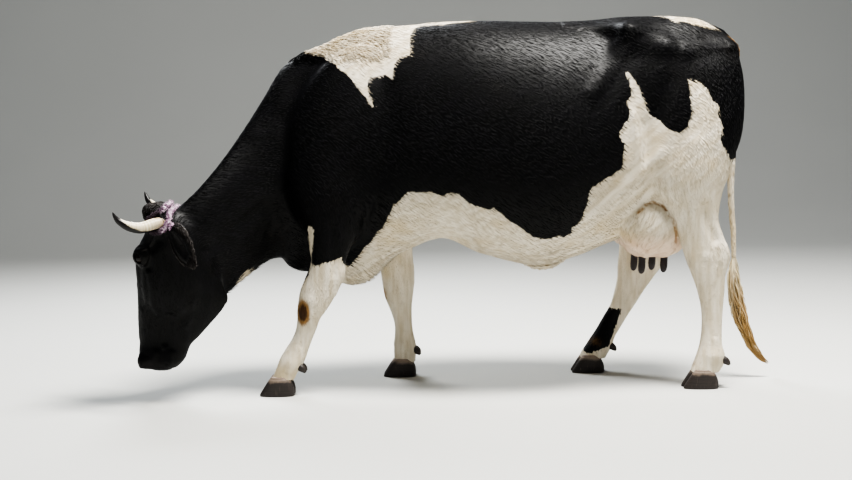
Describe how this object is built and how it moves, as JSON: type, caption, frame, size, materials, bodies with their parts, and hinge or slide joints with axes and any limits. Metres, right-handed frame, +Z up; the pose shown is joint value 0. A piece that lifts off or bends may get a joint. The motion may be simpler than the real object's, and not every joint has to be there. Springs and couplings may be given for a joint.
{
  "type": "grazing cow model",
  "caption": "Still life-size model of a black and white horned dairy cow, head lowered to graze, parted into head, neck, trunk, limbs, hooves and tail.",
  "frame": {"origin": "centre of the bounding box's footprint, on the floor under the soles", "axes": "+X from muzzle to tail, +Y to the animal's right, +Z up; the animal's left side faces -Y"},
  "size_m": [2.5616, 0.9153, 1.476],
  "materials": {
    "coat_black": "short glossy black hair lying close to the skin",
    "coat_white": "short white hair, cream in the light, with black patches on trunk, thighs and one cannon",
    "switch_hair": "long wavy hair of the tail's end, pale at the root and golden towards the tip",
    "udder_skin": "thin pink-cream skin with fine pale hair",
    "teat_skin": "smooth black skin",
    "horn": "keratin, cream with dark tips, ringed at the root",
    "hoof": "dark keratin with growth rings",
    "eye": "dark brown glass eye, wet and glossy",
    "rope": "laid rope, faded purple-pink"
  },
  "bodies": {
    "root": {"trunk": "coat_black", "neck": "coat_black", "head": "coat_black", "left_ear": "coat_black", "right_ear": "coat_black", "left_foreleg": "coat_white", "left_fore_cannon": "coat_white", "left_gaskin": "coat_white", "left_hind_cannon": "coat_white", "right_foreleg": "coat_white", "right_fore_cannon": "coat_white", "right_gaskin": "coat_white", "right_hind_cannon": "coat_white", "tail_dock": "coat_white", "left_eye": "eye", "right_eye": "eye", "left_horn": "horn", "right_horn": "horn", "horn_rope": "rope", "udder": "udder_skin", "teat_left_fore": "teat_skin", "teat_left_hind": "teat_skin", "teat_right_fore": "teat_skin", "teat_right_hind": "teat_skin", "tail_switch": "switch_hair", "left_fore_outer_claw": "hoof", "left_fore_outer_dew_claw": "hoof", "left_fore_inner_claw": "hoof", "left_fore_inner_dew_claw": "hoof", "left_hind_outer_claw": "hoof", "left_hind_outer_dew_claw": "hoof", "left_hind_inner_claw": "hoof", "left_hind_inner_dew_claw": "hoof", "right_fore_outer_claw": "hoof", "right_fore_outer_dew_claw": "hoof", "right_fore_inner_claw": "hoof", "right_fore_inner_dew_claw": "hoof", "right_hind_outer_claw": "hoof", "right_hind_outer_dew_claw": "hoof", "right_hind_inner_claw": "hoof", "right_hind_inner_dew_claw": "hoof"}
  },
  "joints": []
}
